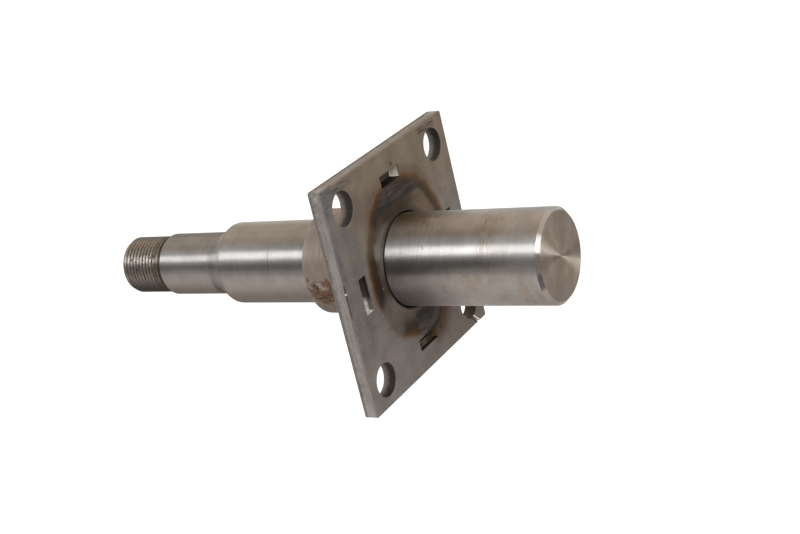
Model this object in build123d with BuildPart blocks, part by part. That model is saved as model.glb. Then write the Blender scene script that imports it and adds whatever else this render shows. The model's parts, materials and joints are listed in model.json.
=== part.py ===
from build123d import *
from math import atan, degrees, sqrt
import os

# Trailer axle spindle with a brake flange welded to it.
# The axis is X: the plain stub points to +X and the threaded end to -X.
# X = 0 is the flange's face on the stub side. The flange's edges lie along Y and Z.
# All sizes are in millimetres, and stations are measured along X.

# Stub, which goes into the axle
stub_diameter = 38.1
stub_length = 67.65
stub_chamfer = 1.5
relief_depth = 0.55

# Seal land, with the shoulder that the flange stands against
land_diameter = 43.66
land_length = 32.6
land_edge_radius = 0.6

# Inner bearing journal
inner_diameter = 35.0
inner_length = 47.3
inner_corner_radius = 0.5
inner_edge_radius = 3.0

# Outer bearing journal, which rises to the inner one in a hollow curve
outer_diameter = 27.0
outer_length = 35.9
hollow_radius = 12.7
outer_edge_chamfer = 0.3

# Threaded end for the spindle nut, plain at the thread's major diameter
thread_diameter = 25.0
thread_length = 22.65
thread_chamfer = 0.8
runout_depth = 1.1
runout_width = 2.4

# Centre drilled in the threaded end
centre_mouth_diameter = 6.0
centre_pilot_diameter = 2.5
centre_depth = 6.0
centre_angle = 60.0

# Brake flange, a nearly square plate with a punched bolt hole near each corner
bolt_spacing = 72.5
side_margin = 11.75
end_margin = 11.0
flange_thickness = 5.7
flange_corner_radius = 1.0
flange_edge_radius = 0.4
bore_clearance = 0.7
bolt_hole_diameter = 13.5
punched_land = 2.9
breakout_growth = 0.15

# Four pilot lugs, half sheared: each leaves a pocket on the stub side and stands out behind
lug_count = 4
lug_length = 15.0
lug_width = 5.0
lug_circle_radius = 35.6
lug_corner_radius = 0.5
lug_web = 0.7
punch_clearance = 0.15

# Saw cut from one bolt hole to the flange's lower edge
kerf_width = 0.9
kerf_root_offset = 3.1
kerf_exit_margin = 6.8
kerf_overrun = 2.0

# Fillet weld between the seal land and the flange, which bites a little into both
weld_leg = 6.0
weld_crown = 0.8
weld_penetration = 0.4

# Radii that follow from the sizes above
stub_radius = stub_diameter / 2
relief_radius = stub_radius - relief_depth
bore_radius = stub_radius + bore_clearance
land_radius = land_diameter / 2
inner_radius = inner_diameter / 2
outer_radius = outer_diameter / 2
thread_radius = thread_diameter / 2
runout_radius = thread_radius - runout_depth
bolt_hole_radius = bolt_hole_diameter / 2
breakout_radius = bolt_hole_radius + breakout_growth
weld_root_radius = land_radius - weld_penetration
weld_outer_radius = land_radius + weld_leg

# Stations that follow from the sizes above
flange_back = -flange_thickness
weld_toe = flange_back - weld_leg
weld_bottom = flange_back + weld_penetration
land_end = flange_back - land_length
inner_end = land_end - inner_length
outer_end = inner_end - outer_length
runout_end = outer_end - runout_width
thread_end = outer_end - thread_length

# The flange's outline follows its bolt holes, and each lug is as tall as its pocket is deep
flange_width = bolt_spacing + 2 * side_margin
flange_height = bolt_spacing + 2 * end_margin
breakout_depth = flange_thickness - punched_land
breakout_angle = 2 * degrees(atan(breakout_growth / breakout_depth))
lug_height = flange_thickness - lug_web

# The hollow curve leaves the outer journal on a tangent and ends at the inner journal's edge
hollow_rise = inner_radius - outer_radius
hollow_run = sqrt(2 * hollow_radius * hollow_rise - hollow_rise**2)
hollow_start = inner_end - hollow_run

# Faces that holes and lugs are placed on
threaded_face = Plane(origin=(thread_end, 0, 0), z_dir=(-1, 0, 0))
back_face = Plane(origin=(flange_back, 0, 0), x_dir=(0, 1, 0), z_dir=(-1, 0, 0))


def corner_at(sketch, station, radius):
    """The corner of a half section that lies at a station and a radius."""
    return sketch.vertices().sort_by_distance((station, radius, 0))[0]


# The spindle is turned from one bar: half its section, revolved about the axis
with BuildPart() as spindle:
    with BuildSketch(Plane.XZ) as half_section:
        with BuildLine():
            Polyline(
                (thread_end, 0),
                (stub_length, 0),
                (stub_length, stub_radius),
                (0, stub_radius),
                (0, relief_radius),
                (flange_back, relief_radius),
                (flange_back, weld_root_radius),
                (weld_toe, weld_root_radius),
                (weld_toe, land_radius),
                (land_end, land_radius),
                (land_end, inner_radius),
                (inner_end, inner_radius),
            )
            TangentArc(
                (hollow_start, outer_radius),
                (inner_end, inner_radius),
                tangent=(1, 0),
            )
            Polyline(
                (hollow_start, outer_radius),
                (outer_end, outer_radius),
                (outer_end, runout_radius),
                (runout_end, runout_radius),
                (runout_end, thread_radius),
                (thread_end, thread_radius),
                (thread_end, 0),
            )
        make_face()
        fillet(corner_at(half_section, land_end, land_radius), land_edge_radius)
        fillet(corner_at(half_section, land_end, inner_radius), inner_corner_radius)
        fillet(corner_at(half_section, inner_end, inner_radius), inner_edge_radius)
        chamfer(corner_at(half_section, stub_length, stub_radius), stub_chamfer)
        chamfer(corner_at(half_section, outer_end, outer_radius), outer_edge_chamfer)
        chamfer(corner_at(half_section, thread_end, thread_radius), thread_chamfer)
    revolve(axis=Axis.X)
    with Locations(threaded_face):
        CounterSinkHole(
            centre_pilot_diameter / 2,
            centre_mouth_diameter / 2,
            depth=centre_depth,
            counter_sink_angle=centre_angle,
        )
spindle.part.label = "spindle"

# The brake flange is sheared and punched from plate, from the stub side
with BuildPart() as brake_flange:
    with BuildSketch(Plane.YZ.offset(flange_back)):
        RectangleRounded(flange_width, flange_height, flange_corner_radius)
    extrude(amount=flange_thickness)

    # The bolt holes open out where the punch broke through
    with Locations(back_face):
        with GridLocations(bolt_spacing, bolt_spacing, 2, 2):
            CounterSinkHole(
                bolt_hole_radius,
                breakout_radius,
                counter_sink_angle=breakout_angle,
            )
    front_face = brake_flange.faces().sort_by(Axis.X)[-1]
    fillet(front_face.edges(), flange_edge_radius)

    # Bore that passes over the stub
    with Locations(Plane.YZ):
        Hole(bore_radius)

    # Pockets that the lugs are pushed out of, and the lugs
    with BuildSketch(Plane.YZ):
        with PolarLocations(lug_circle_radius, lug_count):
            RectangleRounded(lug_width, lug_length, lug_corner_radius)
    extrude(amount=-lug_height, mode=Mode.SUBTRACT)
    with BuildSketch(back_face):
        with PolarLocations(lug_circle_radius, lug_count):
            RectangleRounded(
                lug_width - 2 * punch_clearance,
                lug_length - 2 * punch_clearance,
                lug_corner_radius,
            )
    extrude(amount=lug_height)

    # Ring that the weld bites out of the back
    with BuildSketch(back_face):
        Circle(weld_outer_radius)
        Circle(weld_root_radius, mode=Mode.SUBTRACT)
    extrude(amount=-weld_penetration, mode=Mode.SUBTRACT)

    # The saw cut slants from the bolt hole at +Y and -Z to the lower edge
    kerf_root = Vector(
        bolt_spacing / 2 - kerf_root_offset,
        -bolt_spacing / 2 - kerf_root_offset,
    )
    kerf_exit = Vector(flange_width / 2 - kerf_exit_margin, -flange_height / 2)
    kerf_direction = (kerf_exit - kerf_root).normalized()
    with BuildSketch(Plane.YZ):
        with BuildLine():
            Line(kerf_root, kerf_exit + kerf_direction * kerf_overrun)
        trace(line_width=kerf_width)
    extrude(amount=-flange_thickness, mode=Mode.SUBTRACT)
brake_flange.part.label = "brake_flange"

# The weld runs all the way round, on the bearing side of the flange
with BuildPart() as flange_weld:
    with BuildSketch(Plane.XZ):
        with BuildLine():
            Polyline(
                (weld_toe, land_radius),
                (weld_toe, weld_root_radius),
                (weld_bottom, weld_root_radius),
                (weld_bottom, weld_outer_radius),
                (flange_back, weld_outer_radius),
            )
            SagittaArc(
                (weld_toe, land_radius),
                (flange_back, weld_outer_radius),
                weld_crown,
            )
        make_face()
    revolve(axis=Axis.X)
flange_weld.part.label = "flange_weld"

os.makedirs("parts", exist_ok=True)
export_step(spindle.part, "parts/spindle.step")
export_step(brake_flange.part, "parts/brake_flange.step")
export_step(flange_weld.part, "parts/flange_weld.step")
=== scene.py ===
import json
import math

import bmesh
import bpy
from mathutils import Matrix, Vector


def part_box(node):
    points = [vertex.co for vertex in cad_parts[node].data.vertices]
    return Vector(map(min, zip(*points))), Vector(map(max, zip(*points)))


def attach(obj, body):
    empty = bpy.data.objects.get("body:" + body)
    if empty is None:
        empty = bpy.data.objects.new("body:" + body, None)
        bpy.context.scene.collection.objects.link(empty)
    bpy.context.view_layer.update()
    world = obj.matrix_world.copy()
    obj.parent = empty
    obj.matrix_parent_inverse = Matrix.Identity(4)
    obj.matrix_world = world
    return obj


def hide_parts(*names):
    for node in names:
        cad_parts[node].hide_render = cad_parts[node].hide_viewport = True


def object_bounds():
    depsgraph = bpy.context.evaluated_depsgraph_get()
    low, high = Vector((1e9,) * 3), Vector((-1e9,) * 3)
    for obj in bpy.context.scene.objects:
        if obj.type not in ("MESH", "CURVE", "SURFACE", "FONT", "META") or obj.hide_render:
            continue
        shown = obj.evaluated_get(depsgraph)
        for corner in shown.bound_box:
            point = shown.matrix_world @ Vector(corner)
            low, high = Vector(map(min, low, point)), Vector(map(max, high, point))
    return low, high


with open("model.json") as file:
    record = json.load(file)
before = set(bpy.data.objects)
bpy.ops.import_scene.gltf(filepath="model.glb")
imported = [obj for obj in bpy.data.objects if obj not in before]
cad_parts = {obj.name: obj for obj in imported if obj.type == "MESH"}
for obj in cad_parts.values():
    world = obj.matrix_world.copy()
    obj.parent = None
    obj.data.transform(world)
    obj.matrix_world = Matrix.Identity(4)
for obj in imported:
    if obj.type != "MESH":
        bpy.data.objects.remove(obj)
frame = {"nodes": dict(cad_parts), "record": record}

cadLow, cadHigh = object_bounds()
mm = 0.001
print("frame loaded:", ", ".join(sorted(frame["nodes"])))

# Camera, where the photograph was taken from

cameraValues = {
    "location": (0.32004, -0.477109, 0.199865),
    "turnDegrees": (70.0784, 12.9838, 29.6673),
    "lens": 67.66,
    "sensorWidth": 36.0,
    "nearClip": 0.01,
}


def addCamera(values):
    data = bpy.data.cameras.new("photoCamera")
    data.lens = values["lens"]
    data.sensor_width = values["sensorWidth"]
    data.clip_start = values["nearClip"]
    camera = bpy.data.objects.new("photoCamera", data)
    camera.location = values["location"]
    camera.rotation_euler = [math.radians(turn) for turn in values["turnDegrees"]]
    bpy.context.scene.collection.objects.link(camera)
    bpy.context.scene.camera = camera


addCamera(cameraValues)
bpy.context.scene.view_settings.view_transform = "Standard"
print("camera placed")

# Short ways to write node trees


class Wire:
    # what comes out of a node; arithmetic with it adds Math nodes to its tree
    def __init__(self, socket):
        self.socket = socket
        self.tree = socket.id_data

    def __add__(self, other):
        return calc("ADD", self, other)

    def __sub__(self, other):
        return calc("SUBTRACT", self, other)

    def __rsub__(self, other):
        return calc("SUBTRACT", other, self)

    def __mul__(self, other):
        return calc("MULTIPLY", self, other)

    def __truediv__(self, other):
        return calc("DIVIDE", self, other)


def wire(node, name=0):
    return Wire(node.outputs[name])


def wires(sockets):
    return {socket.name: Wire(socket) for socket in sockets}


def treeOf(values):
    return next(value.tree for value in values if isinstance(value, Wire))


def plug(socket, value):
    if isinstance(value, Wire):
        value.tree.links.new(value.socket, socket)
    elif socket.type == "RGBA":
        socket.default_value = (*value, 1)
    else:
        socket.default_value = value


def addNode(tree, kind, sockets=None, **settings):
    node = tree.nodes.new(kind)
    for name, value in settings.items():
        setattr(node, name, value)
    for name, value in (sockets or {}).items():
        plug(node.inputs[name], value)
    return node


def calc(operation, *values, clamp=False):
    sockets = dict(enumerate(values))
    return wire(addNode(treeOf(values), "ShaderNodeMath", sockets, operation=operation, use_clamp=clamp))


def vectorCalc(operation, *values):
    sockets = dict(enumerate(values))
    node = addNode(treeOf(values), "ShaderNodeVectorMath", sockets, operation=operation)
    return wire(node, "Value" if operation in ("LENGTH", "DOT_PRODUCT") else "Vector")


def vector(x, y, z=0.0):
    return wire(addNode(treeOf((x, y, z)), "ShaderNodeCombineXYZ", {"X": x, "Y": y, "Z": z}))


def parts(place):
    node = addNode(place.tree, "ShaderNodeSeparateXYZ", {0: place})
    return [Wire(socket) for socket in node.outputs]


def scaled(place, x, y, z):
    return vectorCalc("MULTIPLY", place, (x, y, z))


def most(first, *others):
    for other in others:
        first = calc("MAXIMUM", first, other)
    return first


def mix(share, first, second, blend="MIX"):
    # the Mix node has its colors in sockets 6 and 7, and puts them out at 2
    tree = treeOf((share, first, second))
    sockets = {0: share, 6: first, 7: second}
    return wire(addNode(tree, "ShaderNodeMix", sockets, data_type="RGBA", blend_type=blend), 2)


def shaded(color, shade):
    return mix(1.0, color, shade, "MULTIPLY")


def rise(value, start, end):
    # 0 before start, 1 past end, smooth between
    sockets = {"Value": value, "From Min": start, "From Max": end}
    return wire(addNode(value.tree, "ShaderNodeMapRange", sockets, interpolation_type="SMOOTHSTEP"))


def band(value, start, end, soft):
    # 1 from start to end, with soft edges
    return rise(value, start - soft, start + soft) * rise(value, end + soft, end - soft)


def noise(place, scale=1.0, detail=2.0, roughness=0.5):
    sockets = {"Vector": place, "Scale": scale, "Detail": detail, "Roughness": roughness}
    return wire(addNode(place.tree, "ShaderNodeTexNoise", sockets))


def streaky(place, stretch, start, end, detail=3.0, roughness=0.7):
    # a mask of streaks or blots, long where the stretch is small
    return rise(noise(scaled(place, *stretch), 1.0, detail, roughness), start, end)


def spot(flat, y, z, radius, soft):
    # a round mask on a face across the axis
    away = vectorCalc("LENGTH", vectorCalc("SUBTRACT", flat, (0, y, z)))
    return rise(away, radius + soft, radius - soft)


def emptyTree(owner):
    owner.use_nodes = True
    owner.node_tree.nodes.clear()
    return owner.node_tree


# Studio: a pale floor, a soft sky, a long softbox beside the axis and a small one past the stub

studioValues = {
    "floorDrop": 0.30,  # metres under the model
    "floorSize": 14.0,
    "floorColor": (0.52, 0.48, 0.46),
    "paintedFloorShade": (0.05, 0.05, 0.05),
    "glowColor": (1.0, 0.935, 0.895),
    "white": (1.0, 1.0, 1.0),
    "skyColor": (1.0, 0.965, 0.93),
    "warmSky": (1.0, 0.79, 0.61),
    "skyLevel": 1.22,
    "nearSkyLevel": 0.76,
    "darkSideLevel": 0.26,
}

longBox = {
    "centre": (0.57, -0.772, 0.636),
    "aim": (0.57, 0, 0),
    "length": 2.15,
    "width": 0.325,
    "radiance": 5.75,
}

endBox = {
    "centre": (1.10, -0.30, 0.60),
    "aim": (0.07, 0, 0),
    "length": 0.62,
    "width": 0.50,
    "radiance": 5.0,
}


def seenPlain(path):
    # the camera sees the floor and the sky plain white, also through glass
    return most(wire(path, "Is Camera Ray"), wire(path, "Is Transmission Ray"))


def floorMaterial(values):
    material = bpy.data.materials.new("paleFloor")
    tree = emptyTree(material)
    x, y = parts(wire(addNode(tree, "ShaderNodeTexCoord"), "Object"))[:2]
    # painted shade darkens the floor, in its own colour and as metal sees it, under the threaded end, on
    # the far side and past the stub
    near = rise(y, 0.35, -0.45) * 0.5 + 0.5
    under = rise(x, -0.17, -0.34) * rise(y, -0.20, 0.15)
    past = rise(x, 0.45, 0.75) * rise(y, -0.10, -0.35)
    # painted shade darkens the floor again where the camera stands
    stand = rise(x - y * 0.62, -0.2, 0.4) * rise(y, -1.1, -2.0)
    # and a painted pool of light makes it brighter towards the threaded end than under the stub
    left = rise(x - y * 0.42, -0.04, -0.32) * 0.52 + 0.78
    level = near * left * (1.0 - under * 0.68) * (1.0 - most(past, stand) * 0.80)

    path = addNode(tree, "ShaderNodeLightPath")
    seen = seenPlain(path)
    glow = {
        "Color": mix(seen, values["glowColor"], values["white"]),
        "Strength": most(wire(path, "Is Glossy Ray") * level, seen),
    }
    matte = {"Color": mix(level, values["paintedFloorShade"], values["floorColor"])}
    both = {
        0: wire(addNode(tree, "ShaderNodeEmission", glow)),
        1: wire(addNode(tree, "ShaderNodeBsdfDiffuse", matte)),
    }
    surface = wire(addNode(tree, "ShaderNodeAddShader", both))
    addNode(tree, "ShaderNodeOutputMaterial", {"Surface": surface})
    return material


def addFloor(values):
    half = values["floorSize"] / 2
    height = cadLow.z - values["floorDrop"]
    mesh = bpy.data.meshes.new("floor")
    corners = [(-half, -half, height), (half, -half, height), (half, half, height), (-half, half, height)]
    mesh.from_pydata(corners, [], [(0, 1, 2, 3)])
    mesh.materials.append(floorMaterial(values))
    floor = bpy.data.objects.new("floor", mesh)
    bpy.context.scene.collection.objects.link(floor)


def addSoftbox(name, values):
    light = bpy.data.lights.new(name, "AREA")
    light.shape = "RECTANGLE"
    light.size = values["length"]
    light.size_y = values["width"]
    light.energy = values["radiance"] * math.pi * values["length"] * values["width"]
    lamp = bpy.data.objects.new(name, light)
    lamp.location = values["centre"]
    # a lamp shines down its own -Z, and the long side stays level
    back = (Vector(values["centre"]) - Vector(values["aim"])).normalized()
    level = Vector((0, 0, 1)).cross(back).normalized()
    lamp.rotation_euler = Matrix((level, back.cross(level), back)).transposed().to_euler()
    bpy.context.scene.collection.objects.link(lamp)


def addWorld(values):
    world = bpy.data.worlds.new("studio")
    bpy.context.scene.world = world
    tree = emptyTree(world)
    x, y, z = parts(wire(addNode(tree, "ShaderNodeTexCoord"), "Generated"))
    # away from the camera the sky is brighter and, higher up, warmer
    away = rise(y, -0.15, 0.22)
    clear = away * (values["skyLevel"] - values["nearSkyLevel"]) + values["nearSkyLevel"]
    sky = mix(rise(z, 0.32, 0.76) * rise(y, -0.6, -0.05), values["skyColor"], values["warmSky"])
    # low down on the far side it is brighter past the threaded end
    endward = rise(x, -0.40, -0.75) * 0.85 - 0.14
    clear = clear * (away * rise(z, 0.58, 0.20) * endward + 1.0)
    # the room is dark at eye level on the near side, most of all past the stub's end
    nearSide = y - most(x, 0.0) * 0.45
    dark = rise(nearSide, -0.35, -0.75) * rise(z, 0.42, 0.22)
    level = clear * (1.0 - dark) + dark * values["darkSideLevel"]

    seen = seenPlain(addNode(tree, "ShaderNodeLightPath"))
    light = {
        "Color": mix(seen, sky, values["white"]),
        "Strength": level * (1.0 - seen) + seen,
    }
    background = wire(addNode(tree, "ShaderNodeBackground", light))
    addNode(tree, "ShaderNodeOutputWorld", {"Surface": background})


addFloor(studioValues)
addSoftbox("longBox", longBox)
addSoftbox("endBox", endBox)
addWorld(studioValues)
print("studio lit")

# Effects that several finishes share

effectValues = {
    "darkRust": (0.060, 0.032, 0.021),
    "paleRust": (0.185, 0.115, 0.078),
    "grimeAndShade": (0.016, 0.014, 0.012),
}


def addSockets(tree, way, sockets):
    for label, kind in sockets.items():
        tree.interface.new_socket(label, in_out=way, socket_type="NodeSocket" + kind)


def shaderGroup(name, given, made):
    tree = bpy.data.node_groups.new(name, "ShaderNodeTree")
    addSockets(tree, "INPUT", given)
    addSockets(tree, "OUTPUT", made)
    return tree, wires(addNode(tree, "NodeGroupInput").outputs), addNode(tree, "NodeGroupOutput").inputs


def useGroup(group, sockets):
    return wires(addNode(treeOf(sockets.values()), "ShaderNodeGroup", sockets, node_tree=group).outputs)


def toolMarksGroup():
    # fine lines that a tool leaves, long where the stretch is small
    given = {"Place": "Vector", "Stretch": "Vector", "Spread": "Float"}
    tree, given, made = shaderGroup("toolMarks", given, {"Shade": "Float", "Height": "Float"})
    lines = noise(vectorCalc("MULTIPLY", given["Place"], given["Stretch"]), 1.0, 3.0, 0.65)
    plug(made["Shade"], (lines - 0.5) * given["Spread"] + 1.0)
    plug(made["Height"], lines)
    return tree


def millScaleGroup():
    # the uneven grey of rolled or fused steel: broad clouds and fine grain
    given = {"Place": "Vector", "Scale": "Float", "Spread": "Float"}
    tree, given, made = shaderGroup("millScale", given, {"Shade": "Float", "Height": "Float"})
    clouds = noise(given["Place"], given["Scale"] * 0.35, 2.0, 0.5)
    grain = noise(given["Place"], given["Scale"] * 4.0, 3.0, 0.7)
    plug(made["Shade"], (clouds * 0.6 + grain * 0.4 - 0.5) * given["Spread"] + 1.0)
    plug(made["Height"], grain)
    return tree


def flecksGroup():
    # small spots with firm edges, more of them for a greater amount
    given = {"Place": "Vector", "Scale": "Float", "Amount": "Float"}
    tree, given, made = shaderGroup("flecks", given, {"Mask": "Float"})
    spots = noise(given["Place"], given["Scale"], 1.5, 0.5)
    edge = 0.74 - given["Amount"] * 0.3
    plug(made["Mask"], calc("MULTIPLY", spots - edge, 14.0, clamp=True))
    return tree


def weatherAndShadeGroup(values):
    # rust, oily grime and painted shade over any steel; where they lie the surface is dull
    given = {"Color": "Color", "Place": "Vector", "Rust": "Float", "GrimeAndShade": "Float"}
    tree, given, made = shaderGroup("weatherAndShade", given, {"Color": "Color", "Dull": "Float"})
    patches = rise(noise(given["Place"], 0.8, 3.0, 0.65), 0.36, 0.64)
    rust = mix(patches, values["darkRust"], values["paleRust"])
    rusted = mix(given["Rust"], given["Color"], rust)
    plug(made["Color"], mix(given["GrimeAndShade"], rusted, values["grimeAndShade"]))
    plug(made["Dull"], most(given["Rust"], given["GrimeAndShade"]))
    return tree


toolMarks = toolMarksGroup()
millScale = millScaleGroup()
flecks = flecksGroup()
weatherAndShade = weatherAndShadeGroup(effectValues)
print("effects made")


def newMaterial(name):
    # the place is in millimetres: station along the axis, across and up
    material = bpy.data.materials.new(name)
    tree = emptyTree(material)
    return material, scaled(wire(addNode(tree, "ShaderNodeTexCoord"), "Object"), 1000, 1000, 1000)


def finishMaterial(color, roughness, metallic, height, bumpDistance, anisotropy=0.0):
    tree = color.tree
    bump = addNode(tree, "ShaderNodeBump", {"Strength": 1.0, "Distance": bumpDistance, "Height": height})
    sockets = {
        "Base Color": color,
        "Roughness": roughness,
        "Metallic": metallic,
        "Normal": wire(bump),
        "Specular IOR Level": 0.3,
    }
    if anisotropy:
        # turning marks run round the axis, so the shine spreads along it
        sockets["Anisotropic"] = anisotropy
        sockets["Anisotropic Rotation"] = 0.25
        sockets["Tangent"] = wire(addNode(tree, "ShaderNodeTangent", direction_type="RADIAL", axis="X"))
    shader = addNode(tree, "ShaderNodeBsdfPrincipled", sockets)
    addNode(tree, "ShaderNodeOutputMaterial", {"Surface": wire(shader)})


def mountOf(name):
    return next(mount for mount in frame["record"]["mounts"] if mount["name"] == name)


def radiusOf(name):
    return mountOf(name)["dims"]["r_mm"]


def reachOf(name):
    # the lowest and highest station of a journal, land or thread, in millimetres
    mount = mountOf(name)
    middle, half = mount["pos_m"][0] / mm, mount["dims"]["length_mm"] / 2
    return middle - half, middle + half


flangeBack = mountOf("brake_face")["pos_m"][0] / mm  # station of its hidden side, in millimetres

# Turned steel of the spindle

turnedValues = {
    "steel": (0.310, 0.306, 0.300),
    "outerShade": 0.90,  # the outer journal beside the rest
    "anisotropy": 1.0,
    "roughness": 0.415,
    "scratched": 0.24,  # how much the fine lines change the roughness
    "chamferRoughness": 0.18,
    "faceSteel": (0.285, 0.254, 0.224),
    "faceStain": (0.235, 0.195, 0.145),
    "faceMetallic": 0.72,
    "faceRoughness": 0.48,
    "landSteel": (0.232, 0.196, 0.168),
    "landWorn": (0.262, 0.246, 0.230),
    "landScraped": (0.36, 0.32, 0.28),
    "landRoughness": 0.72,
    "landMetallic": 0.2,
    "threadSteel": (0.33, 0.298, 0.264),
    "threadRunOut": (0.165, 0.125, 0.092),
    "threadLow": 0.15,  # how much steel shows through the painted shade below
    "sootAndShade": (0.030, 0.024, 0.018),
    "scratchBlack": (0.02, 0.02, 0.02),
    "tintedBrown": (0.072, 0.048, 0.024),
    "tintedRings": (0.150, 0.110, 0.062),
    "tanStain": (0.28, 0.212, 0.14),
    "heldStain": (0.170, 0.125, 0.080),
    "paintedChamferShade": (0.045, 0.045, 0.048),
    "paintedSheen": (0.56, 0.52, 0.48),
    "shadow": (0.03, 0.03, 0.03),
}


def facing(outward, degrees, halfWidth, soft):
    # 1 where the wall faces an angle about the axis, from +Y towards +Z
    angle = math.radians(degrees)
    cosine = vectorCalc("DOT_PRODUCT", outward, (0, math.cos(angle), math.sin(angle)))
    edges = [math.cos(math.radians(max(turn, 0))) for turn in (halfWidth + soft, halfWidth - soft)]
    return rise(cosine, *edges)


def unrolled(place, radius):
    # a turned wall laid flat: the station, and the way round from +Y over +Z in millimetres
    x, y, z = parts(place)
    turn = calc("ARCTAN2", z * -1.0, y * -1.0)
    return vector(x, (turn + math.pi) * radius)


def blot(wall, radius, station, degrees, long, wide, soft):
    # an oval mask on an unrolled wall, with a soft edge
    away = vectorCalc("SUBTRACT", wall, (station, math.radians(degrees) * radius, 0))
    away = vectorCalc("LENGTH", vectorCalc("DIVIDE", away, (long, wide, 1)))
    return rise(away, 1 + soft, 1 - soft)


def stubStainsAndShade(values, place, station, outward, color):
    # soot and painted shade darken the stub beside the flange, most on its low side and upper edge, and
    # thin out away from it; they are left off where the bar shines
    sootAndShade = rise(station, 40, 2) * (1 - facing(outward, 138, 22, 6))
    low = most(facing(outward, 248, 50, 28), facing(outward, 75, 20, 12))
    color = mix(sootAndShade * (low * 0.54 + 0.16), color, values["sootAndShade"])
    onStub = rise(station, 0.1, 0.6)
    # heat tint on top, beside the gap
    reach = station - noise(scaled(place, 0.1, 0.5, 0.5), 1.0, 2.0, 0.6) * 22.0
    tint = onStub * rise(reach, 11, -6) * facing(outward, 88, 20, 16)
    color = mix(tint * 0.8, color, values["tintedBrown"])
    rings = streaky(place, (1.1, 0.12, 0.12), 0.46, 0.58)
    rings = rings * band(station, 9, 22, 5) * facing(outward, 100, 18, 12)
    color = mix(rings * 0.55, color, values["tintedRings"])
    # dark scratches of the wiping tool beside the flange
    scratches = streaky(place, (2.4, 0.3, 0.3), 0.53, 0.66, detail=4.0, roughness=0.75)
    scratches = scratches * onStub * rise(station, 44, 14) * facing(outward, 158, 12, 10)
    color = mix(scratches * 0.55, color, values["scratchBlack"])
    # tan stains that follow the turning lines near the end
    lines = streaky(place, (0.9, 0.05, 0.05), 0.5, 0.66)
    patches = rise(noise(scaled(place, 0.1, 0.07, 0.07), 1.3, 2.0, 0.5), 0.44, 0.6)
    color = mix(lines * patches * rise(station, 36, 50) * 0.45, color, values["tanStain"])
    # a stained strip crosses the shine where the bar was held
    strip = streaky(place, (1.5, 0.22, 0.22), 0.47, 0.6, detail=4.0, roughness=0.75)
    strip = strip * band(station, 41, 47.5, 2.0) * facing(outward, 135, 38, 10)
    color = mix(strip * 0.55, color, values["heldStain"])
    blotch = streaky(place, (0.24, 0.2, 0.2), 0.48, 0.66, detail=4.0)
    under = facing(outward, 205, 30, 14) * rise(station, 18, 34) * 0.5
    above = facing(outward, 108, 22, 10) * rise(station, 34, 46) * 0.42
    return mix(blotch * most(under, above), color, values["tanStain"])


def rustyLand(values, place, outward, onLand, color):
    # the seal land is dull, with a rusty patch low down beside the flange
    radius = radiusOf("seal_land")
    start = reachOf("seal_land")[0]
    wall = unrolled(place, radius)
    streaks = noise(scaled(wall, 1.1, 0.1, 1), 1.0, 3.0, 0.6)
    land = shaded(values["landSteel"], streaks * 0.6 + 0.7)
    worn = streaky(wall, (0.22, 0.1, 1), 0.46, 0.6, roughness=0.6)
    color = mix(onLand, color, mix(worn * 0.6, land, values["landWorn"]))
    crust = noise(place, 1.15, 5.0, 0.75)
    broken = noise(place, 0.4, 3.0, 0.6)
    shift = broken * 9.0 - 4.5
    ragged = vectorCalc("ADD", wall, vector(shift, shift))
    large = blot(ragged, radius, start + 6.6, 195, 6.2, 5.8, 0.45)
    small = blot(ragged, radius, start + 10.5, 190, 3.8, 4.6, 0.35)
    # lumps of rust stand close together in the patch and thin out round it
    patch = rise(crust * 1.5 + most(large, small), 0.98, 1.6)
    brownTop = rise(broken, 0.42, 0.66) * facing(outward, 106, 20, 12) * 0.45
    pit = blot(wall, radius, start + 1.2, 178, 0.7, 1.0, 0.4)
    # the middle of the patch is scraped
    scraped = blot(ragged, radius, start + 7.0, 187, 1.9, 1.8, 0.6)
    color = mix(onLand * scraped * 0.7, color, values["landScraped"])
    rust = onLand * most(patch, brownTop, pit) * (1 - scraped * 0.9)
    lumps = onLand * patch * rise(crust, 0.56, 0.68) * (1 - scraped)
    return color, rust, lumps, onLand * patch * crust * 8.0


def shadedDirtyThread(values, place, station, outward, shade, color):
    # oil and dirt lie in the roots of the thread; painted shade blackens its lower side and darkens a strip
    # along its top
    start, end = reachOf("spindle_thread")
    crest = radiusOf("spindle_thread")
    onEnd = rise(station, cadLow.x / mm + 0.12, cadLow.x / mm + 0.04)
    onThread = rise(station, end + 0.4, end - 0.2) * (1 - onEnd)
    color = mix(onThread, color, shaded(values["threadSteel"], shade))
    root = rise(vectorCalc("LENGTH", scaled(place, 0, 1, 1)), crest - 0.2, crest - 0.65)
    dots = useGroup(flecks, {"Place": scaled(place, 1.0, 0.55, 0.55), "Scale": 1.0, "Amount": 0.65})
    inRoots = root * (dots["Mask"] * 0.35 + 0.62)
    low = facing(outward, 258, 62, 30) * (1 - values["threadLow"])
    upper = facing(outward, 74, 20, 12) * 0.6
    # the last turn runs out in a brown hollow with black scratches
    runOut = rise(station, end - 3.6, end - 2.8)
    color = mix(onThread * runOut * 0.6, color, values["threadRunOut"])
    scratches = runOut * streaky(place, (1.7, 0.28, 0.28), 0.5, 0.58) * 0.85
    # crests are nicked in a few rows
    nicks = useGroup(flecks, {"Place": scaled(place, 1.3, 0.75, 0.75), "Scale": 1.0, "Amount": 0.52})
    rows = facing(outward, 143, 30, 8) * band(station, start + 4.2, end - 3.4, 0.5) * nicks["Mask"]
    return color, onThread, onThread * most(inRoots, low, upper, scratches, rows * 0.95)


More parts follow.
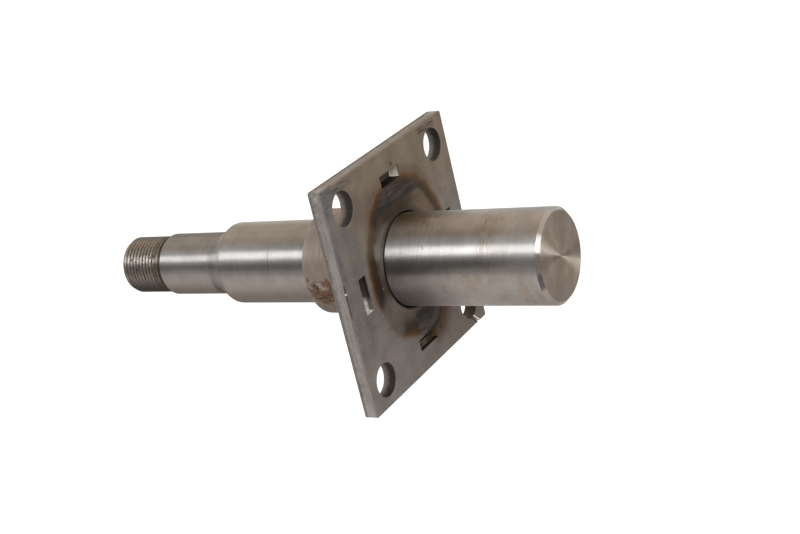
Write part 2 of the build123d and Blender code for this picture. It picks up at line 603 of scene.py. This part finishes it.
def turnedSteel(values):
    material, place = newMaterial("turnedSteel")
    station = parts(place)[0]
    outward = vectorCalc("NORMALIZE", scaled(place, 0, 1, 1))
    journalLow, journalHigh = reachOf("inner_bearing_journal")
    outerLow, outerHigh = reachOf("outer_bearing_journal")
    landLow = reachOf("seal_land")[0]
    threadHigh = reachOf("spindle_thread")[1]
    stubEnd = mountOf("stub")["dims"]["length_mm"]
    face = cadHigh.x / mm

    fine = useGroup(toolMarks, {"Place": place, "Stretch": (3.2, 0.12, 0.12), "Spread": 0.32})
    broad = useGroup(toolMarks, {"Place": place, "Stretch": (0.7, 0.03, 0.03), "Spread": 0.18})
    mottle = useGroup(millScale, {"Place": place, "Scale": 0.5, "Spread": 0.75})
    color = shaded(values["steel"], fine["Shade"] * broad["Shade"])
    outer = rise(station, outerHigh + 6, outerHigh)
    color = mix(outer * (1 - values["outerShade"]), color, (0, 0, 0))
    color = shaded(color, mottle["Shade"])
    color = stubStainsAndShade(values, place, station, outward, color)
    # painted sheen lightens the journals on top and below, and a band of painted shade darkens the outer
    # journal near its top
    onInner = band(station, journalLow - 0.5, landLow - 0.5, 0.3)
    onOuter = rise(station, outerHigh + 1.0, outerHigh - 0.5)
    sheenTop = onInner * facing(outward, 70, 18, 18) * 0.42
    sheenLow = most(onInner, onOuter) * facing(outward, 212, 20, 10) * 0.13
    color = mix(most(sheenTop, sheenLow), color, values["paintedSheen"])
    color = mix(onOuter * facing(outward, 117, 13, 7) * 0.14, color, values["shadow"])
    # grinding stops at the journals, and the hollow between them is duller, with painted shade darkening it
    hollow = band(station, outerHigh + 1.0, journalLow - 0.6, 0.8)
    color = mix(hollow * 0.22, color, values["shadow"])
    onFace = rise(station, face - 0.12, face - 0.04)
    onChamfer = rise(station, stubEnd - 0.05, stubEnd + 0.05) * (1 - onFace)
    # painted shade darkens one side of the chamfer, facing -Y
    color = mix(onChamfer * facing(outward, 190, 9, 6) * 0.85, color, values["paintedChamferShade"])
    clouds = useGroup(millScale, {"Place": place, "Scale": 0.5, "Spread": 0.85})
    facedOff = shaded(values["faceSteel"], clouds["Shade"])
    stained = rise(noise(place, 0.16, 3.0, 0.6), 0.44, 0.6) * 0.45
    color = mix(onFace, color, mix(stained, facedOff, values["faceStain"]))

    onLand = rise(station, landLow - 1.0, landLow - 0.4) * rise(station, flangeBack + 0.2, flangeBack - 0.2)
    color, rust, lumps, crusted = rustyLand(values, place, outward, onLand, color)
    color, onThread, threadDirtAndShade = shadedDirtyThread(values, place, station, outward, broad["Shade"], color)
    # the groove is darkened, and painted shade blackens the stub inside the flange's bore
    inGroove = band(station, threadHigh + 0.1, outerLow - 0.5, 0.12) * 0.72
    gapShade = band(station, flangeBack + 0.1, -0.1, 0.1)
    grimeAndShade = most(threadDirtAndShade, lumps * 0.45, inGroove, gapShade)

    # a fine step across the inner journal is drawn as a painted shadow line where the journal shines
    stepAt = journalLow + (journalHigh - journalLow) * 0.56
    step = band(station, stepAt - 0.12, stepAt + 0.12, 0.08) * facing(outward, 156, 18, 6)
    color = mix(step * 0.65, color, values["shadow"])

    aged = useGroup(weatherAndShade, {"Color": color, "Place": place, "Rust": rust, "GrimeAndShade": grimeAndShade})
    # a haze of oil lies on the bearing journals, thickest on the outer one, and on the stub's end
    haze = (outer * 0.1 + 0.06) * rise(station, landLow - 0.5, landLow - 1.5)
    haze = most(haze, rise(station, 38, 60) * 0.16)
    dullLand = onLand * (1 - values["landMetallic"])
    dullFace = onFace * (1 - values["faceMetallic"])
    metallic = 1 - most(aged["Dull"], haze, dullLand, dullFace) * 0.9
    roughness = (fine["Height"] - 0.5) * values["scratched"] + values["roughness"]
    for mask, name in ((onFace, "face"), (onChamfer, "chamfer"), (onLand, "land")):
        roughness = roughness + mask * (values[name + "Roughness"] - values["roughness"])
    roughness = roughness + hollow * 0.05 + rise(station, 36, 58) * 0.05 + onThread * 0.09
    height = crusted + fine["Height"]
    finishMaterial(aged["Color"], roughness, metallic, height, 0.004 * mm, values["anisotropy"])
    return material


# Plate steel of the brake flange

plateValues = {
    "steel": (0.180, 0.165, 0.152),
    "warmSteel": (0.188, 0.156, 0.120),
    "coolSteel": (0.122, 0.129, 0.138),
    "paleSteel": (0.218, 0.198, 0.188),
    "smoke": (0.060, 0.048, 0.036),
    "rubbed": (0.34, 0.31, 0.28),
    "speck": (0.42, 0.36, 0.30),
    "darkSpots": ((2.5, 40.2, 1.0), (10.5, -35.5, 0.8), (37.8, 6.7, 0.7)),  # across, up, radius
    "brightSpots": ((-23.2, -2.8, 0.35), (-27.6, -12.4, 0.35)),
    "roughness": 0.66,
    "metallic": 0.55,
    "cutSide": (0.232, 0.222, 0.214),
    "cutTop": (0.176, 0.157, 0.138),
    "cornerHighlight": (0.360, 0.345, 0.330),
    "cutBurr": (0.045, 0.038, 0.032),
    "dragDark": (0.06, 0.05, 0.04),
    "dragPale": (0.42, 0.41, 0.40),
    "score": (0.055, 0.032, 0.022),
    "nick": (0.80, 0.74, 0.70),
    "tintCentre": (0.6, 2.3),
    "tintRadius": 30.2,
    # from 3.5 mm outside the ring's edge, at 0, to 10 mm inside it, at 1
    "tintTones": {
        0.00: (0.152, 0.108, 0.066),
        0.18: (0.094, 0.047, 0.014),
        0.34: (0.037, 0.018, 0.007),
        0.50: (0.032, 0.021, 0.013),
        0.68: (0.094, 0.074, 0.054),
        1.00: (0.160, 0.140, 0.120),
    },
    "straw": (0.105, 0.066, 0.032),
    "tan": (0.116, 0.080, 0.046),
    "oxideBrown": (0.044, 0.029, 0.018),
    "oxideBorder": (0.018, 0.018, 0.022),
    "leftInside": (0.200, 0.182, 0.162),
    "rim": (0.030, 0.020, 0.013),
    "halo": (0.080, 0.044, 0.023),
    "haloSoot": (0.030, 0.020, 0.016),
    "bottomBorder": (0.020, 0.018, 0.021),
    "pocketRadius": 35.6,
    "pocketSize": (15.0, 5.0),
    "holeSawn": (0.085, 0.066, 0.052),
    "kerfRoot": (33.15, -39.35),
    "kerfDirection": (0.713, -0.701),
    "kerfHighlight": (0.98, 0.97, 0.95),
    "kerfShadow": (0.040, 0.035, 0.030),
}


def heatTint(values, place, fore, color):
    # the weld behind the plate left a ring of straw, brown and dark blue
    y, z = parts(place)[1:]
    flat = scaled(place, 0, 1, 1)
    warp = addNode(place.tree, "ShaderNodeTexNoise", {"Vector": flat, "Scale": 0.16, "Detail": 3.0})
    moved = scaled(vectorCalc("SUBTRACT", wire(warp, "Color"), (0.5, 0.5, 0.5)), 0, 3.2, 3.2)
    spoke = vectorCalc("SUBTRACT", vectorCalc("ADD", flat, moved), (0, *values["tintCentre"]))
    depth = values["tintRadius"] - vectorCalc("LENGTH", spoke)
    # the ring is wider below and a little narrower at the left
    direction = vectorCalc("NORMALIZE", spoke)
    spokeY, spokeZ = parts(direction)[1:]
    depth = depth + rise(spokeZ, -0.25, -0.75) * (rise(spokeY, 0.05, 0.4) * 2.6 + 1.9)
    depth = depth + rise(spokeZ, 0.55, 0.9) * 0.8 - rise(spokeY, -0.6, -0.9) * 1.2
    # how deep inside the ring decides the color
    ramp = addNode(place.tree, "ShaderNodeValToRGB", {"Fac": (depth + 3.5) / 13.5})
    tones = dict(values["tintTones"])
    bands = ramp.color_ramp.elements
    bands[0].color, bands[1].color = (*tones.pop(0.0), 1), (*tones.pop(1.0), 1)
    for position, tone in tones.items():
        bands.new(position).color = (*tone, 1)
    # the ring is faint at the lower left, and less so at the upper left and right
    lowLeft = rise(vectorCalc("DOT_PRODUCT", direction, (0, -0.76, -0.65)), 0.925, 0.992)
    upRight = rise(vectorCalc("DOT_PRODUCT", direction, (0, 0.78, 0.62)), 0.8, 0.93)
    upLeft = rise(vectorCalc("DOT_PRODUCT", direction, (0, -0.86, 0.51)), 0.955, 0.995)
    faint = lowLeft * 0.58 + upRight * 0.1 + upLeft * 0.28
    # at the upper right it is a thin line round a tan field
    deep = rise(depth, 2.2, 5.0)
    strength = rise(depth, -4.0, -0.5) * (1 - faint) * (1 - upRight * deep * 0.6)
    straw = band(depth, -5.0, 0.0, 1.5) * rise(spokeZ, 0.45, 0.8)
    color = mix(straw * 0.45, color, values["straw"])
    color = mix(strength, color, wire(ramp, "Color"))
    color = mix(deep * rise(y, 2, 10) * rise(z, 6, 14) * 0.75, color, values["tan"])

    # grey oxide covers the top of the ring, with a bluish lower border
    streaks = noise(scaled(place, 0, 0.07, 0.5), 1.0, 3.0, 0.65)
    oxide = mix(rise(streaks, 0.36, 0.64), (0.022, 0.018, 0.015), (0.062, 0.049, 0.04))
    inRing = rise(depth, -0.6, 2.4)
    wavy = streaks * 2.2 + (z - 1.1)
    color = mix(inRing * rise(wavy, 17.0, 22.0) * band(y, -16, 12, 6), color, values["oxideBrown"])
    color = mix(inRing * rise(wavy, 23.8, 25.6), color, oxide)
    color = mix(inRing * band(wavy, 24.6, 26.4, 0.9) * 0.75, color, values["oxideBorder"])

    # the left of the ring is darkest, brown above and blue below
    blue = mix(rise(z, 2, -3), (0.028, 0.016, 0.009), (0.017, 0.018, 0.023))
    wavyY = noise(flat, 0.2, 3.0, 0.6) * 5.0 + (y - 2.5)
    leaning = rise(z, -2, -9) * 1.6 + wavyY
    color = mix(band(leaning, -26.4, -24.2, 1.2) * band(z, -9, 9, 3.5) * 0.9, color, blue)
    inside = rise(wavyY, -24.4, -22.4) * rise(y, -17.0, -20.5) * band(z, 9, 15, 2)
    color = mix(inside * 0.85, color, values["leftInside"])

    # a dark rim follows the bore at its top and left
    around = vectorCalc("LENGTH", flat)
    rim = rise(around, 23.5, 20.2) * rise(around, 19.0, 19.6)
    rim = rim * most(rise(z, 8, 17), rise(y, -17, -19) * band(z, -8, 2, 3))
    color = mix(rim * 0.75, color, values["rim"])

    # another oxide patch at the bottom has a straight border at its left and a round one at its right
    centred = vectorCalc("SUBTRACT", vectorCalc("ADD", flat, scaled(moved, 0, 0.4, 0.4)), (0, 3.3, -19.8))
    reach = vectorCalc("LENGTH", centred)
    halo = fore * rise(z, -25.0, -27.0) * rise(y, 2, 8) * rise(reach, 25.0, 16.0)
    color = mix(halo * 0.95, color, values["halo"])
    sooty = streaky(place, (0, 1.3, 0.7), 0.54, 0.64)
    color = mix(halo * sooty * 0.5, color, values["haloSoot"])
    cold = mix(rise(streaks, 0.38, 0.64), (0.03, 0.027, 0.026), (0.082, 0.07, 0.062))
    cold = mix(rise(z, -27.0, -24.5), cold, (0.018, 0.018, 0.019))
    bottom = fore * rise(z, -20.5, -23.5) * rise(y, -6.2, -4.8) * rise(reach, 15.2, 14.0)
    color = mix(bottom * 0.95, color, cold)
    border = bottom * rise(y, 3, 7) * band(reach, 12.6, 14.8, 0.6)
    return mix(border * 0.85, color, values["bottomBorder"])


def pocketWalls(values, place, fore, color):
    # the punch burnished some walls of the pockets and tore others; painted shade blackens the upper
    # pocket's lower wall, and painted highlight makes the upper pocket's end wall and the left pocket's
    # lower end pale
    x, y, z = parts(place)
    length, width = values["pocketSize"]
    inner, outer = values["pocketRadius"] - width / 2, values["pocketRadius"] + width / 2
    end = length / 2
    inside = fore * rise(x, -0.02, -0.12)
    speckle = useGroup(flecks, {"Place": place, "Scale": 0.9, "Amount": 0.55})["Mask"]

    def within(away, along):
        # away runs from the axis through the pocket, and along runs with its length
        across = band(away, inner - 0.15, outer + 0.15, 0.05)
        return inside * across * band(along, -end - 0.15, end + 0.15, 0.05)

    upper = within(z, y)
    color = mix(upper, color, (0.085, 0.065, 0.045))
    # painted shade: the upper pocket's lower wall is black
    color = mix(upper * rise(z, inner + 0.25, inner + 0.15), color, (0.012, 0.011, 0.012))
    # painted highlight: the upper pocket's end wall is pale cream deep down, with painted shade at its
    # front
    paintedLitCream = mix(rise(x, -0.5, -1.6), (0.2, 0.15, 0.1), (0.88, 0.8, 0.68))
    paintedLitWall = upper * rise(y, end - 0.3, end - 0.2)
    color = mix(paintedLitWall, color, paintedLitCream)

    left = within(y * -1.0, z)
    wall = mix(rise(x, -0.8, -2.6), (0.04, 0.034, 0.022), (0.115, 0.1, 0.076))
    # painted highlight: the left pocket's lower end is pale and speckled
    paintedPale = mix(rise(x, -1.6, -2.5), (0.14, 0.125, 0.105), (0.82, 0.8, 0.78))
    paintedPale = mix(rise(z, -end + 0.3, -end + 0.2), paintedPale, (0.6, 0.57, 0.53))
    paintedPale = mix(speckle * 0.4, paintedPale, (0.12, 0.11, 0.1))
    lowPart = rise(z, -1.2, -4.2)
    color = mix(left, color, mix(lowPart, wall, paintedPale))

    lower = within(z * -1.0, y)
    color = mix(lower, color, (0.046, 0.034, 0.022))
    streaks = noise(scaled(place, 1.4, 0.12, 0.1), 1.0, 2.0, 0.5)
    torn = rise(streaks, 0.38, 0.56) * rise(x, -2.0, -2.8)
    shelf = mix(torn, (0.03, 0.023, 0.016), (0.4, 0.35, 0.27))
    color = mix(lower * rise(z, -outer + 0.3, -outer + 0.2), color, shelf)
    color = mix(lower * rise(y, end - 0.3, end - 0.2), color, (0.21, 0.15, 0.09))
    return color, most(left * lowPart, paintedLitWall)


def holeWalls(values, place, color):
    # a punched hole is burnished near the punch's side and torn below it
    x, y, z = parts(place)
    bolts = mountOf("brake_bolts")["dims"]
    across = calc("ABSOLUTE", y) - bolts["spacing_x_mm"] / 2
    up = calc("ABSOLUTE", z) - bolts["spacing_y_mm"] / 2
    away = vectorCalc("LENGTH", vector(across, up))
    onWall = rise(away, bolts["hole_r_mm"] + 0.28, bolts["hole_r_mm"] + 0.12)
    rough = noise(scaled(place, 0.5, 0.9, 0.9), 1.0, 3.0, 0.6)
    torn = rise(rough * 1.6 + x, -1.3, -4.4)
    wall = mix(torn, (0.03, 0.028, 0.025), (0.18, 0.165, 0.15))
    # the hole beside the saw cut is browner
    wall = mix(rise(y, 0, 4) * rise(z, 0, -4) * 0.8, wall, values["holeSawn"])
    return mix(onWall, color, wall), onWall


def shearedSides(values, place, color):
    # sheared sides are paler, with a dark strip where they broke away
    x, y, z = parts(place)
    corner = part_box("brake_flange")[1] / mm
    across = calc("ABSOLUTE", y)
    up = calc("ABSOLUTE", z)
    onTop = rise(up, corner.z - 0.3, corner.z - 0.1)
    onSide = most(rise(across, corner.y - 0.3, corner.y - 0.1), onTop)
    sheared = useGroup(toolMarks, {"Place": place, "Stretch": (0.35, 0.45, 0.45), "Spread": 0.75})
    side = shaded(mix(onTop, values["cutSide"], values["cutTop"]), sheared["Shade"])
    drag = noise(scaled(place, 1.6, 0.06, 0.06), 1.0, 3.0, 0.7)
    side = mix(rise(drag, 0.55, 0.66) * 0.5, side, values["dragDark"])
    side = mix(rise(drag, 0.42, 0.34) * 0.4, side, values["dragPale"])
    # painted highlight lightens the side edges near the plate's corners
    side = mix(rise(up, 38, 46) * rise(across, 40, 47) * 0.45, side, values["cornerHighlight"])
    ragged = sheared["Height"] * 1.6 + x
    burr = most(rise(ragged, -3.2, -4.0), rise(ragged, -0.3, 0.5) * 0.8)
    side = mix(burr * (onTop * 0.35 + 0.45), side, values["cutBurr"])
    color = mix(onSide * rise(x, -0.25, -0.45), color, side)
    # a brown score runs down the left edge, with a bright nick near its top
    onEdge = rise(y, -47.3, -47.6) * band(x, -0.45, 0.1, 0.12)
    score = onEdge * band(z, -4.5, 9.5, 0.8) * rise(drag, 0.36, 0.44)
    color = mix(score * 0.75, color, values["score"])
    return mix(onEdge * band(z, 5.5, 6.1, 0.15), color, values["nick"])


def plateSteel(values):
    material, place = newMaterial("plateSteel")
    x, y, z = parts(place)
    flat = scaled(place, 0, 1, 1)
    fore = rise(x, flangeBack + 0.2, flangeBack + 0.4)  # all but the hidden side

    # the face is warmer towards the top, with faint marks of rolling from side to side
    mottle = useGroup(millScale, {"Place": place, "Scale": 0.32, "Spread": 1.15})
    rolled = useGroup(toolMarks, {"Place": place, "Stretch": (0.3, 0.07, 0.9), "Spread": 0.34})
    steel = mix(rise(z, 2, 34) * rise(y, -46, -34), values["steel"], values["warmSteel"])
    cool = streaky(place, (0.3, 0.2, 0.08), 0.42, 0.6, detail=4.0) * rise(y, -24, -40)
    steel = mix(cool * 0.8, steel, values["coolSteel"])
    smoked = rise(y, -6, -16) * rise(y, -40, -30) * rise(z, 22, 30) * rise(z, 42, 34)
    steel = mix(smoked * 0.28, steel, values["smoke"])
    steel = mix(rise(z, -8, -30) * rise(y, -14, -30) * 0.5, steel, values["paleSteel"])
    color = heatTint(values, place, fore, steel)
    color = shaded(color, mottle["Shade"] * rolled["Shade"])

    # dark smears near the top corners, and small marks
    scuffs = streaky(place, (0.5, 0.11, 1.3), 0.42, 0.6, detail=4.0, roughness=0.72)
    nearTop = band(z, 43.2, 46.2, 0.9) * most(band(y, 26, 41, 2), band(y, -42, -27, 2)) * 1.1
    atCorner = rise(z, 30, 43) * rise(y, -38, -44) * 0.6
    spots = [spot(flat, *sizes, 0.4) for sizes in values["darkSpots"]]
    stain = spot(flat, 1.5, 41.5, 2.6, 2.2) * 0.35
    grit = useGroup(flecks, {"Place": place, "Scale": 0.75, "Amount": 0.28})["Mask"] * 0.5
    grain = streaky(place, (1.0, 1.1, 2.0), 0.54, 0.68, detail=4.0, roughness=0.75) * 0.27
    marks = most(most(nearTop, atCorner) * scuffs, *spots, stain, grit, grain)
    rubbed = streaky(place, (1.0, 1.4, 1.7), 0.56, 0.7, detail=4.0, roughness=0.75)
    color = mix(rubbed * 0.22, color, values["rubbed"])
    specks = most(*[spot(flat, *sizes, 0.2) for sizes in values["brightSpots"]])
    color = mix(specks * 0.6, color, values["speck"])
    # painted shade blackens the gap round the stub
    gapShade = rise(vectorCalc("LENGTH", flat), 20.7, 19.9)
    grimeAndShade = fore * most(marks * 0.8, gapShade)

    color = shearedSides(values, place, color)
    color, paintedBright = pocketWalls(values, place, fore, color)
    color, onHoleWall = holeWalls(values, place, color)

    # the saw cut's fresh wall and the face beside it carry a painted highlight, and a painted shadow runs
    # along its other side
    alongY, alongZ = values["kerfDirection"]
    fromRoot = vectorCalc("SUBTRACT", flat, (0, *values["kerfRoot"]))
    sideways = vectorCalc("DOT_PRODUCT", fromRoot, (0, -alongZ, alongY))
    past = rise(vectorCalc("DOT_PRODUCT", fromRoot, (0, alongY, alongZ)), 0.3, 0.9)
    cut = band(sideways, 0.35, 1.05, 0.08) * past * (1 - onHoleWall)
    color = mix(cut, color, values["kerfHighlight"])
    color = mix(band(sideways, -1.5, -0.5, 0.25) * past * 0.7, color, values["kerfShadow"])

    rust = useGroup(flecks, {"Place": place, "Scale": 0.22, "Amount": 0.42})["Mask"] * 0.1
    aged = useGroup(weatherAndShade, {"Color": color, "Place": place, "Rust": rust, "GrimeAndShade": grimeAndShade})
    # metal is turned off under the painted highlights of the pockets and the saw cut
    metallic = (1 - most(aged["Dull"], paintedBright, cut)) * values["metallic"]
    roughness = mottle["Height"] * 0.2 + (values["roughness"] - 0.1)
    finishMaterial(aged["Color"], roughness, metallic, mottle["Height"], 0.03 * mm)
    return material


# Spindle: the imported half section, revolved, with the thread cut into its end

threadValues = {
    "turnsPerInch": 14,
    "depth": 1.05 * mm,
    "crestPower": 0.7,  # under 1 leaves wide worn crests and narrow roots
    "stationsPerTurn": 14,
    "segments": 128,
    "fadeAtFace": 1.0 * mm,
    "fadeAtGroove": 2.2 * mm,
}


def ringsOf(node):
    # a turned node's mesh lies on rings, each with one station and one radius
    seen = {}
    for vertex in frame["nodes"][node].data.vertices:
        station, radius = vertex.co.x, math.hypot(vertex.co.y, vertex.co.z)
        seen.setdefault((round(station / mm, 2), round(radius / mm, 2)), Vector((station, radius)))
    return [ring for ring in seen.values() if ring.y > 0.1 * mm]


def alongSection(rings, start):
    # from ring to nearest ring gives the outline of the half section in order
    order = [start]
    left = [ring for ring in rings if ring is not start]
    while left:
        nearest = min(left, key=lambda ring: (ring - order[-1]).length)
        left = [ring for ring in left if ring is not nearest]
        order.append(nearest)
    return order


def addSection(name, points, closed=False):
    edges = [(i, i + 1) for i in range(len(points) - 1)]
    if closed:
        edges.append((len(points) - 1, 0))
    mesh = bpy.data.meshes.new(name)
    mesh.from_pydata([(station, radius, 0) for station, radius in points], edges, [])
    section = bpy.data.objects.new(name, mesh)
    bpy.context.scene.collection.objects.link(section)
    return section


def newTree(name, sizes):
    tree = bpy.data.node_groups.new(name, "GeometryNodeTree")
    addSockets(tree, "INPUT", {"Section": "Geometry", **sizes})
    addSockets(tree, "OUTPUT", {"Piece": "Geometry"})
    return tree, wires(addNode(tree, "NodeGroupInput").outputs)


def captured(geometry, value, kind):
    node = addNode(geometry.tree, "GeometryNodeCaptureAttribute")
    node.capture_items.new(kind, "kept")
    plug(node.inputs[0], geometry)
    plug(node.inputs[1], value)
    return wire(node), wire(node, 1)


def revolved(section, segments):
    # every point of the result knows its angle and its place in the section
    tree = section.tree
    place = wire(addNode(tree, "GeometryNodeInputPosition"))
    line = wire(addNode(tree, "GeometryNodeMeshToCurve", {"Mesh": section}))
    line, place = captured(line, place, "VECTOR")
    circle = addNode(tree, "GeometryNodeCurvePrimitiveCircle", {"Resolution": segments, "Radius": 1.0})
    turn = wire(addNode(tree, "GeometryNodeSplineParameter"), "Factor")
    circle, turn = captured(wire(circle), turn, "FLOAT")
    swept = wire(addNode(tree, "GeometryNodeCurveToMesh", {"Curve": circle, "Profile Curve": line}))
    station, radius = parts(place)[:2]
    return swept, turn, station, radius


def finishPiece(mesh, turn, station, radius, material):
    # each point goes to its station and radius, and then the mesh is closed
    angle = turn * math.tau
    place = vector(station, radius * calc("COSINE", angle), radius * calc("SINE", angle))
    steps = [
        ("GeometryNodeSetPosition", {"Position": place}),
        ("GeometryNodeMergeByDistance", {"Distance": 0.001 * mm}),
        ("GeometryNodeSetShadeSmooth", {"Shade Smooth": True}),
        ("GeometryNodeRealizeInstances", {}),
        ("GeometryNodeSetMaterial", {"Material": material}),
    ]
    for kind, sockets in steps:
        mesh = wire(addNode(mesh.tree, kind, {"Geometry": mesh, **sockets}))
    addNode(mesh.tree, "NodeGroupOutput", {"Piece": mesh})


def pieceFrom(section, tree, settings, name, keptSharp):
    modifier = section.modifiers.new(tree.name, "NODES")
    modifier.node_group = tree
    for item in tree.interface.items_tree:
        if item.in_out == "INPUT" and item.name in settings:
            modifier[item.identifier] = settings[item.name]
    ready = section.evaluated_get(bpy.context.evaluated_depsgraph_get())
    mesh = bpy.data.meshes.new_from_object(ready)
    section.modifiers.remove(modifier)
    bpy.data.objects.remove(section)
    work = bmesh.new()
    work.from_mesh(mesh)
    bmesh.ops.remove_doubles(work, verts=work.verts, dist=0.001 * mm)
    bmesh.ops.recalc_face_normals(work, faces=work.faces)
    for edge in work.edges:
        edge.smooth = not (keptSharp(edge) and edge.calc_face_angle(0) > math.radians(30))
    work.to_mesh(mesh)
    work.free()
    mesh.name = name
    piece = bpy.data.objects.new(name, mesh)
    bpy.context.scene.collection.objects.link(piece)
    return piece


def threadTree():
    sizes = {
        "Segments": "Int",
        "Pitch": "Float",
        "Depth": "Float",
        "Crest power": "Float",
        "Face": "Float",
        "Groove": "Float",
        "Crest radius": "Float",
        "Fade at face": "Float",
        "Fade at groove": "Float",
        "Material": "Material",
    }
    tree, given = newTree("threadedSpindle", sizes)
    mesh, turn, station, radius = revolved(given["Section"], given["Segments"])
    # a right-hand helix: the station that a crest passes moves by one pitch each turn
    phase = station / given["Pitch"] - turn
    wave = calc("COSINE", phase * math.tau)
    crest = calc("POWER", wave * 0.5 + 0.5, given["Crest power"])
    fromGroove = given["Groove"] - station
    fade = calc("DIVIDE", station - given["Face"], given["Fade at face"], clamp=True)
    fade = fade * calc("DIVIDE", fromGroove, given["Fade at groove"], clamp=True)
    limit = given["Crest radius"] - (1.0 - crest) * fade * given["Depth"]
    # past the groove the limit is out of reach, so the rest keeps its radius
    limit = limit + calc("LESS_THAN", fromGroove, -0.1 * mm)
    finishPiece(mesh, turn, station, calc("MINIMUM", radius, limit), given["Material"])
    return tree


def addSpindle(values, material):
    rings = ringsOf("spindle")
    drillEnd = max((ring for ring in rings if ring.y < 2 * mm), key=lambda ring: ring.x)
    outline = alongSection(rings, drillEnd)
    crestRadius = radiusOf("spindle_thread") * mm
    pitch = 25.4 * mm / values["turnsPerInch"]
    onCrest = [ring for ring in outline if abs(ring.y - crestRadius) < 0.01 * mm]
    chamferEnd = min(onCrest, key=lambda ring: ring.x)
    groove = max(onCrest, key=lambda ring: ring.x)
    # more stations along the thread, so that its crests and roots are round
    steps = round((groove.x - chamferEnd.x) / pitch * values["stationsPerTurn"])
    between = [chamferEnd.lerp(groove, i / steps) for i in range(1, steps)]
    at = outline.index(chamferEnd)
    outline[at + 1:at + 1] = between
    outline = [Vector((outline[0].x, 0))] + outline + [Vector((outline[-1].x, 0))]
    settings = {
        "Segments": values["segments"],
        "Pitch": pitch,
        "Depth": values["depth"],
        "Crest power": values["crestPower"],
        "Face": cadLow.x,
        "Groove": groove.x,
        "Crest radius": crestRadius,
        "Fade at face": values["fadeAtFace"],
        "Fade at groove": values["fadeAtGroove"],
        "Material": material,
    }

    def outsideThread(edge):
        return any(v.co.x > groove.x - 0.1 * mm or v.co.x < chamferEnd.x for v in edge.verts)

    section = addSection("spindleSection", outline)
    piece = pieceFrom(section, threadTree(), settings, "threaded_spindle", outsideThread)
    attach(piece, "root")
    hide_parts("spindle")


addSpindle(threadValues, turnedSteel(turnedValues))
print("spindle turned and threaded")

# Weld bead round the seal land, with the ripples that each dab of metal leaves

weldValues = {
    "segments": 720,
    "ripples": 92,
    "rippleDepth": 0.34 * mm,
    "rippleLag": 0.9,  # the ripples trail behind at both toes
    "wanders": 40.0,  # how often, in one turn, the ripples draw closer and apart
    "steel": (0.150, 0.136, 0.126),
    "blued": (0.075, 0.074, 0.082),
}


def weldSteel(values):
    material, place = newMaterial("weldSteel")
    mottle = useGroup(millScale, {"Place": place, "Scale": 0.5, "Spread": 0.7})
    color = shaded(values["steel"], mottle["Shade"])
    color = mix(rise(noise(place, 0.10, 3.0, 0.6), 0.40, 0.70) * 0.8, color, values["blued"])
    smut = useGroup(flecks, {"Place": place, "Scale": 0.6, "Amount": 0.35})["Mask"] * 0.55
    aged = useGroup(weatherAndShade, {"Color": color, "Place": place, "Rust": 0.08, "GrimeAndShade": smut})
    metallic = (1.0 - aged["Dull"]) * 0.8
    finishMaterial(aged["Color"], aged["Dull"] * 0.3 + 0.48, metallic, mottle["Height"], 0.02 * mm)
    return material


def weldTree():
    sizes = {
        "Segments": "Int",
        "Ripples": "Float",
        "Ripple depth": "Float",
        "Lag": "Float",
        "Wanders": "Float",
        "Root station": "Float",
        "Root radius": "Float",
        "Material": "Material",
    }
    tree, given = newTree("rippledBead", sizes)
    mesh, turn, station, radius = revolved(given["Section"], given["Segments"])
    # from the root corner, the crown is swept by an angle that runs from toe to toe
    back = given["Root station"] - station
    out = radius - given["Root radius"]
    across = calc("ARCTAN2", out, back) / (math.pi / 2)
    crown = calc("SINE", across * math.pi, clamp=True)
    trail = (1.0 - crown) * given["Lag"]
    uneven = {"W": turn * given["Wanders"], "Scale": 1.0}
    wander = wire(addNode(tree, "ShaderNodeTexNoise", uneven, noise_dimensions="1D"))
    sweep = calc("FRACT", turn * given["Ripples"] + trail + wander)
    cut = sweep * sweep * calc("POWER", crown, 0.5) * given["Ripple depth"]
    share = 1.0 - cut / most(calc("SQRT", back * back + out * out), mm)
    station = given["Root station"] - back * share
    radius = out * share + given["Root radius"]
    finishPiece(mesh, turn, station, radius, given["Material"])
    return tree


def addWeld(values, material):
    rings = ringsOf("flange_weld")
    rootRadius = min(ring.y for ring in rings)
    toe = min((ring for ring in rings if ring.y > rootRadius + 0.1 * mm), key=lambda ring: ring.x)
    outline = alongSection(rings, toe)
    settings = {
        "Segments": values["segments"],
        "Ripples": values["ripples"],
        "Ripple depth": values["rippleDepth"],
        "Lag": values["rippleLag"],
        "Wanders": values["wanders"],
        "Root station": mountOf("brake_face")["pos_m"][0],
        "Root radius": rootRadius,
        "Material": material,
    }
    section = addSection("weldSection", outline, closed=True)
    piece = pieceFrom(section, weldTree(), settings, "weld_bead", lambda edge: False)
    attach(piece, "root")
    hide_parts("flange_weld")


addWeld(weldValues, weldSteel(weldValues))
print("bead laid")

# Brake flange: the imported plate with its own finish

plate = frame["nodes"]["brake_flange"]
plate.material_slots[0].material = plateSteel(plateValues)
print("flange dressed")
